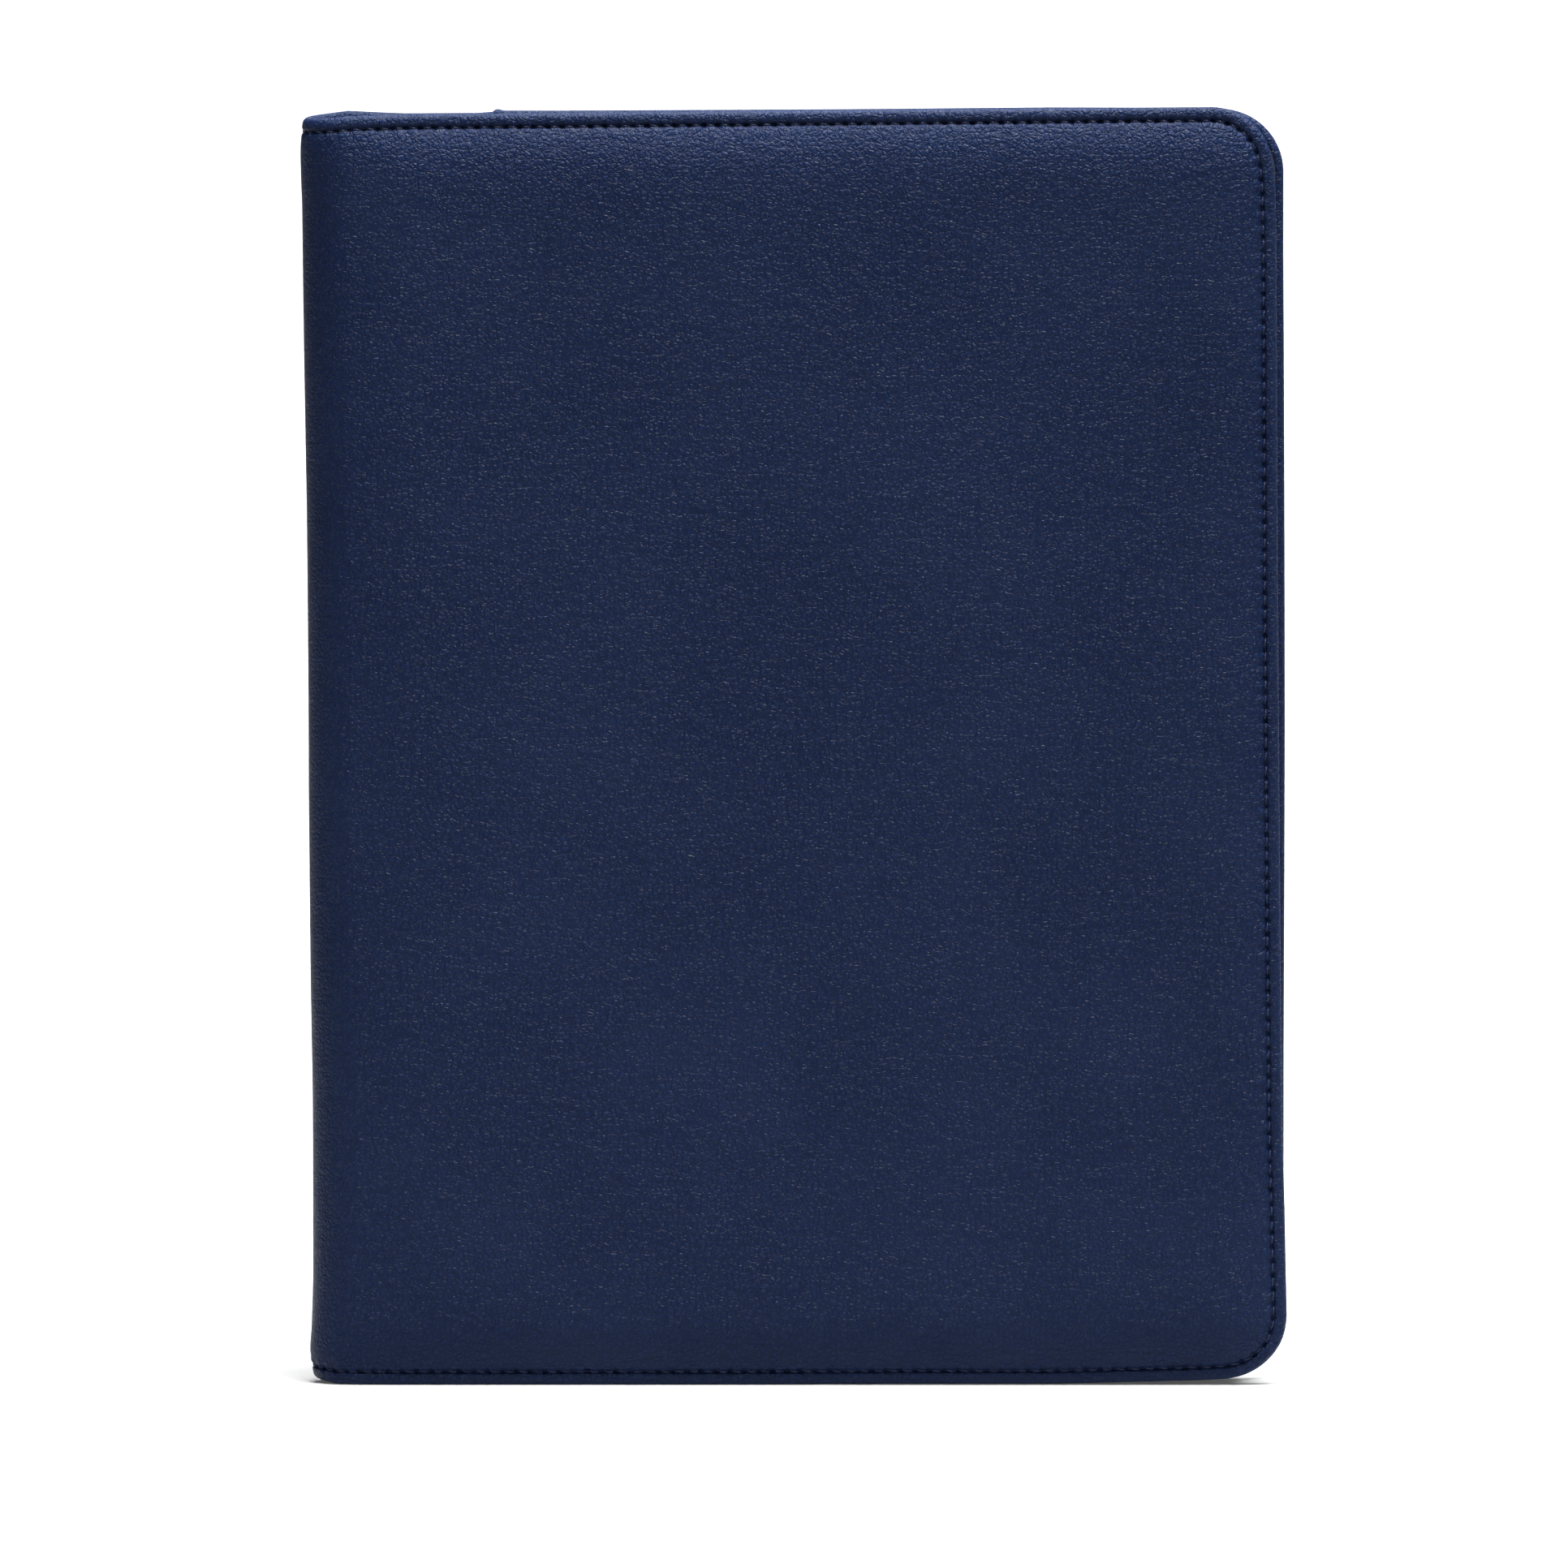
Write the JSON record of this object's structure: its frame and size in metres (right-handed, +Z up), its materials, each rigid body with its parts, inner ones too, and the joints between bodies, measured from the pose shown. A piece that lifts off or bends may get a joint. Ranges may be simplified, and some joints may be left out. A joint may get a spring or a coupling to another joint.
{
  "type": "tablet keyboard case",
  "caption": "Navy leather folio with a round spine, a keyboard inside its front cover and a tablet tray on its folding rear cover.",
  "frame": {"origin": "middle of the base of the closed, standing case", "axes": "+X from the spine to the free edge, +Y from the front cover to the rear cover, +Z up"},
  "size_m": [0.231, 0.022, 0.3],
  "materials": {
    "cover_leather": "navy full-grain leather, fine pebble, satin",
    "padding_foam": "closed-cell padding foam",
    "stiff_board": "dense grey board",
    "microsuede": "short-nap microfibre",
    "magnet_steel": "nickel-plated bar",
    "tray_plastic": "fine moulded texture",
    "rivet_steel": "flat brushed head",
    "deck_plastic": "fine spark-eroded texture",
    "keycap_plastic": "soft-touch matte",
    "clear_film": "frosted film",
    "dome_rubber": "soft silicone",
    "circuit_board": "solder mask",
    "battery_pouch": "laminated foil",
    "port_steel": "drawn steel",
    "light_lens": "frosted light pipe",
    "trackpad_face": "etched satin"
  },
  "bodies": {
    "rear_panel": {"camera_ring": "deck_plastic", "closure_magnet_rear_1": "magnet_steel", "closure_magnet_rear_2": "magnet_steel", "rear_board": "stiff_board", "rear_foam": "padding_foam", "rear_leather": "cover_leather", "rear_lining": "microsuede", "tablet_tray": "tray_plastic", "tray_rivet_1": "rivet_steel", "tray_rivet_2": "rivet_steel", "tray_rivet_3": "rivet_steel", "tray_rivet_4": "rivet_steel"},
    "stand_flap": {"flap_board": "stiff_board", "flap_foam": "padding_foam", "flap_leather": "cover_leather", "flap_lining": "microsuede"},
    "spine": {"spine_leather": "cover_leather", "spine_lining": "microsuede", "spine_stiffener": "stiff_board"},
    "front_cover": {"closure_magnet_front_1": "magnet_steel", "closure_magnet_front_2": "magnet_steel", "front_board": "stiff_board", "front_foam": "padding_foam", "front_leather": "cover_leather", "front_lining": "microsuede", "keyboard_base": "deck_plastic", "key_deck": "deck_plastic", "circuit_membrane": "clear_film", "dome_sheet": "dome_rubber", "battery_cell": "battery_pouch", "control_board": "circuit_board", "charging_port": "port_steel", "status_light": "light_lens", "palm_rest_foam": "padding_foam", "palm_rest_cover": "cover_leather", "trackpad_switch": "port_steel"},
    "power_slider": {"power_slider": "keycap_plastic"},
    "trackpad": {"trackpad": "trackpad_face"},
    "backslash_key": {"backslash_key": "keycap_plastic"},
    "backspace_key": {"backspace_key": "keycap_plastic"},
    "bottom_letter_keys": {"bottom_letter_keys": "keycap_plastic"},
    "caps_lock_key": {"caps_lock_key": "keycap_plastic"},
    "down_arrow_key": {"down_arrow_key": "keycap_plastic"},
    "enter_key": {"enter_key": "keycap_plastic"},
    "escape_key": {"escape_key": "keycap_plastic"},
    "function_keys": {"function_keys": "keycap_plastic"},
    "home_letter_keys": {"home_letter_keys": "keycap_plastic"},
    "left_arrow_key": {"left_arrow_key": "keycap_plastic"},
    "left_modifier_keys": {"left_modifier_keys": "keycap_plastic"},
    "left_shift_key": {"left_shift_key": "keycap_plastic"},
    "number_keys": {"number_keys": "keycap_plastic"},
    "right_arrow_key": {"right_arrow_key": "keycap_plastic"},
    "right_modifier_keys": {"right_modifier_keys": "keycap_plastic"},
    "right_shift_key": {"right_shift_key": "keycap_plastic"},
    "space_bar": {"space_bar": "keycap_plastic"},
    "tab_key": {"tab_key": "keycap_plastic"},
    "top_letter_keys": {"top_letter_keys": "keycap_plastic"},
    "up_arrow_key": {"up_arrow_key": "keycap_plastic"}
  },
  "joints": [
    {"name": "stand_fold", "type": "hinge", "parent": "rear_panel", "child": "stand_flap", "pos_m": [-0.0713, 0.011, 0.15], "axis": [0, 0, -1], "range_deg": [0, 24]},
    {"name": "rear_hinge", "type": "hinge", "parent": "stand_flap", "child": "spine", "pos_m": [-0.1045, 0.011, 0.15], "axis": [0, 0, -1], "range_deg": [0, 120]},
    {"name": "front_hinge", "type": "hinge", "parent": "spine", "child": "front_cover", "pos_m": [-0.1045, -0.011, 0.15], "axis": [0, 0, -1], "range_deg": [0, 120]},
    {"name": "power_slide", "type": "slide", "parent": "front_cover", "child": "power_slider", "axis": [1, 0, 0], "range_m": [0, 0.0025]},
    {"name": "trackpad_click", "type": "slide", "parent": "front_cover", "child": "trackpad", "axis": [0, -1, 0], "range_m": [0, 0.0003], "stiffness_N_per_m": 3000},
    {"name": "backslash_key_press", "type": "slide", "parent": "front_cover", "child": "backslash_key", "axis": [0, -1, 0], "range_m": [0, 0.001], "stiffness_N_per_m": 600},
    {"name": "backspace_key_press", "type": "slide", "parent": "front_cover", "child": "backspace_key", "axis": [0, -1, 0], "range_m": [0, 0.001], "stiffness_N_per_m": 600},
    {"name": "bottom_letter_keys_press", "type": "slide", "parent": "front_cover", "child": "bottom_letter_keys", "axis": [0, -1, 0], "range_m": [0, 0.001], "stiffness_N_per_m": 600},
    {"name": "caps_lock_key_press", "type": "slide", "parent": "front_cover", "child": "caps_lock_key", "axis": [0, -1, 0], "range_m": [0, 0.001], "stiffness_N_per_m": 600},
    {"name": "down_arrow_key_press", "type": "slide", "parent": "front_cover", "child": "down_arrow_key", "axis": [0, -1, 0], "range_m": [0, 0.001], "stiffness_N_per_m": 600},
    {"name": "enter_key_press", "type": "slide", "parent": "front_cover", "child": "enter_key", "axis": [0, -1, 0], "range_m": [0, 0.001], "stiffness_N_per_m": 600},
    {"name": "escape_key_press", "type": "slide", "parent": "front_cover", "child": "escape_key", "axis": [0, -1, 0], "range_m": [0, 0.001], "stiffness_N_per_m": 600},
    {"name": "function_keys_press", "type": "slide", "parent": "front_cover", "child": "function_keys", "axis": [0, -1, 0], "range_m": [0, 0.001], "stiffness_N_per_m": 600},
    {"name": "home_letter_keys_press", "type": "slide", "parent": "front_cover", "child": "home_letter_keys", "axis": [0, -1, 0], "range_m": [0, 0.001], "stiffness_N_per_m": 600},
    {"name": "left_arrow_key_press", "type": "slide", "parent": "front_cover", "child": "left_arrow_key", "axis": [0, -1, 0], "range_m": [0, 0.001], "stiffness_N_per_m": 600},
    {"name": "left_modifier_keys_press", "type": "slide", "parent": "front_cover", "child": "left_modifier_keys", "axis": [0, -1, 0], "range_m": [0, 0.001], "stiffness_N_per_m": 600},
    {"name": "left_shift_key_press", "type": "slide", "parent": "front_cover", "child": "left_shift_key", "axis": [0, -1, 0], "range_m": [0, 0.001], "stiffness_N_per_m": 600},
    {"name": "number_keys_press", "type": "slide", "parent": "front_cover", "child": "number_keys", "axis": [0, -1, 0], "range_m": [0, 0.001], "stiffness_N_per_m": 600},
    {"name": "right_arrow_key_press", "type": "slide", "parent": "front_cover", "child": "right_arrow_key", "axis": [0, -1, 0], "range_m": [0, 0.001], "stiffness_N_per_m": 600},
    {"name": "right_modifier_keys_press", "type": "slide", "parent": "front_cover", "child": "right_modifier_keys", "axis": [0, -1, 0], "range_m": [0, 0.001], "stiffness_N_per_m": 600},
    {"name": "right_shift_key_press", "type": "slide", "parent": "front_cover", "child": "right_shift_key", "axis": [0, -1, 0], "range_m": [0, 0.001], "stiffness_N_per_m": 600},
    {"name": "space_bar_press", "type": "slide", "parent": "front_cover", "child": "space_bar", "axis": [0, -1, 0], "range_m": [0, 0.001], "stiffness_N_per_m": 600},
    {"name": "tab_key_press", "type": "slide", "parent": "front_cover", "child": "tab_key", "axis": [0, -1, 0], "range_m": [0, 0.001], "stiffness_N_per_m": 600},
    {"name": "top_letter_keys_press", "type": "slide", "parent": "front_cover", "child": "top_letter_keys", "axis": [0, -1, 0], "range_m": [0, 0.001], "stiffness_N_per_m": 600},
    {"name": "up_arrow_key_press", "type": "slide", "parent": "front_cover", "child": "up_arrow_key", "axis": [0, -1, 0], "range_m": [0, 0.001], "stiffness_N_per_m": 600}
  ],
  "couplings": [
    {"joint": "stand_fold", "follows": "front_hinge", "ratio": 0.2}
  ]
}
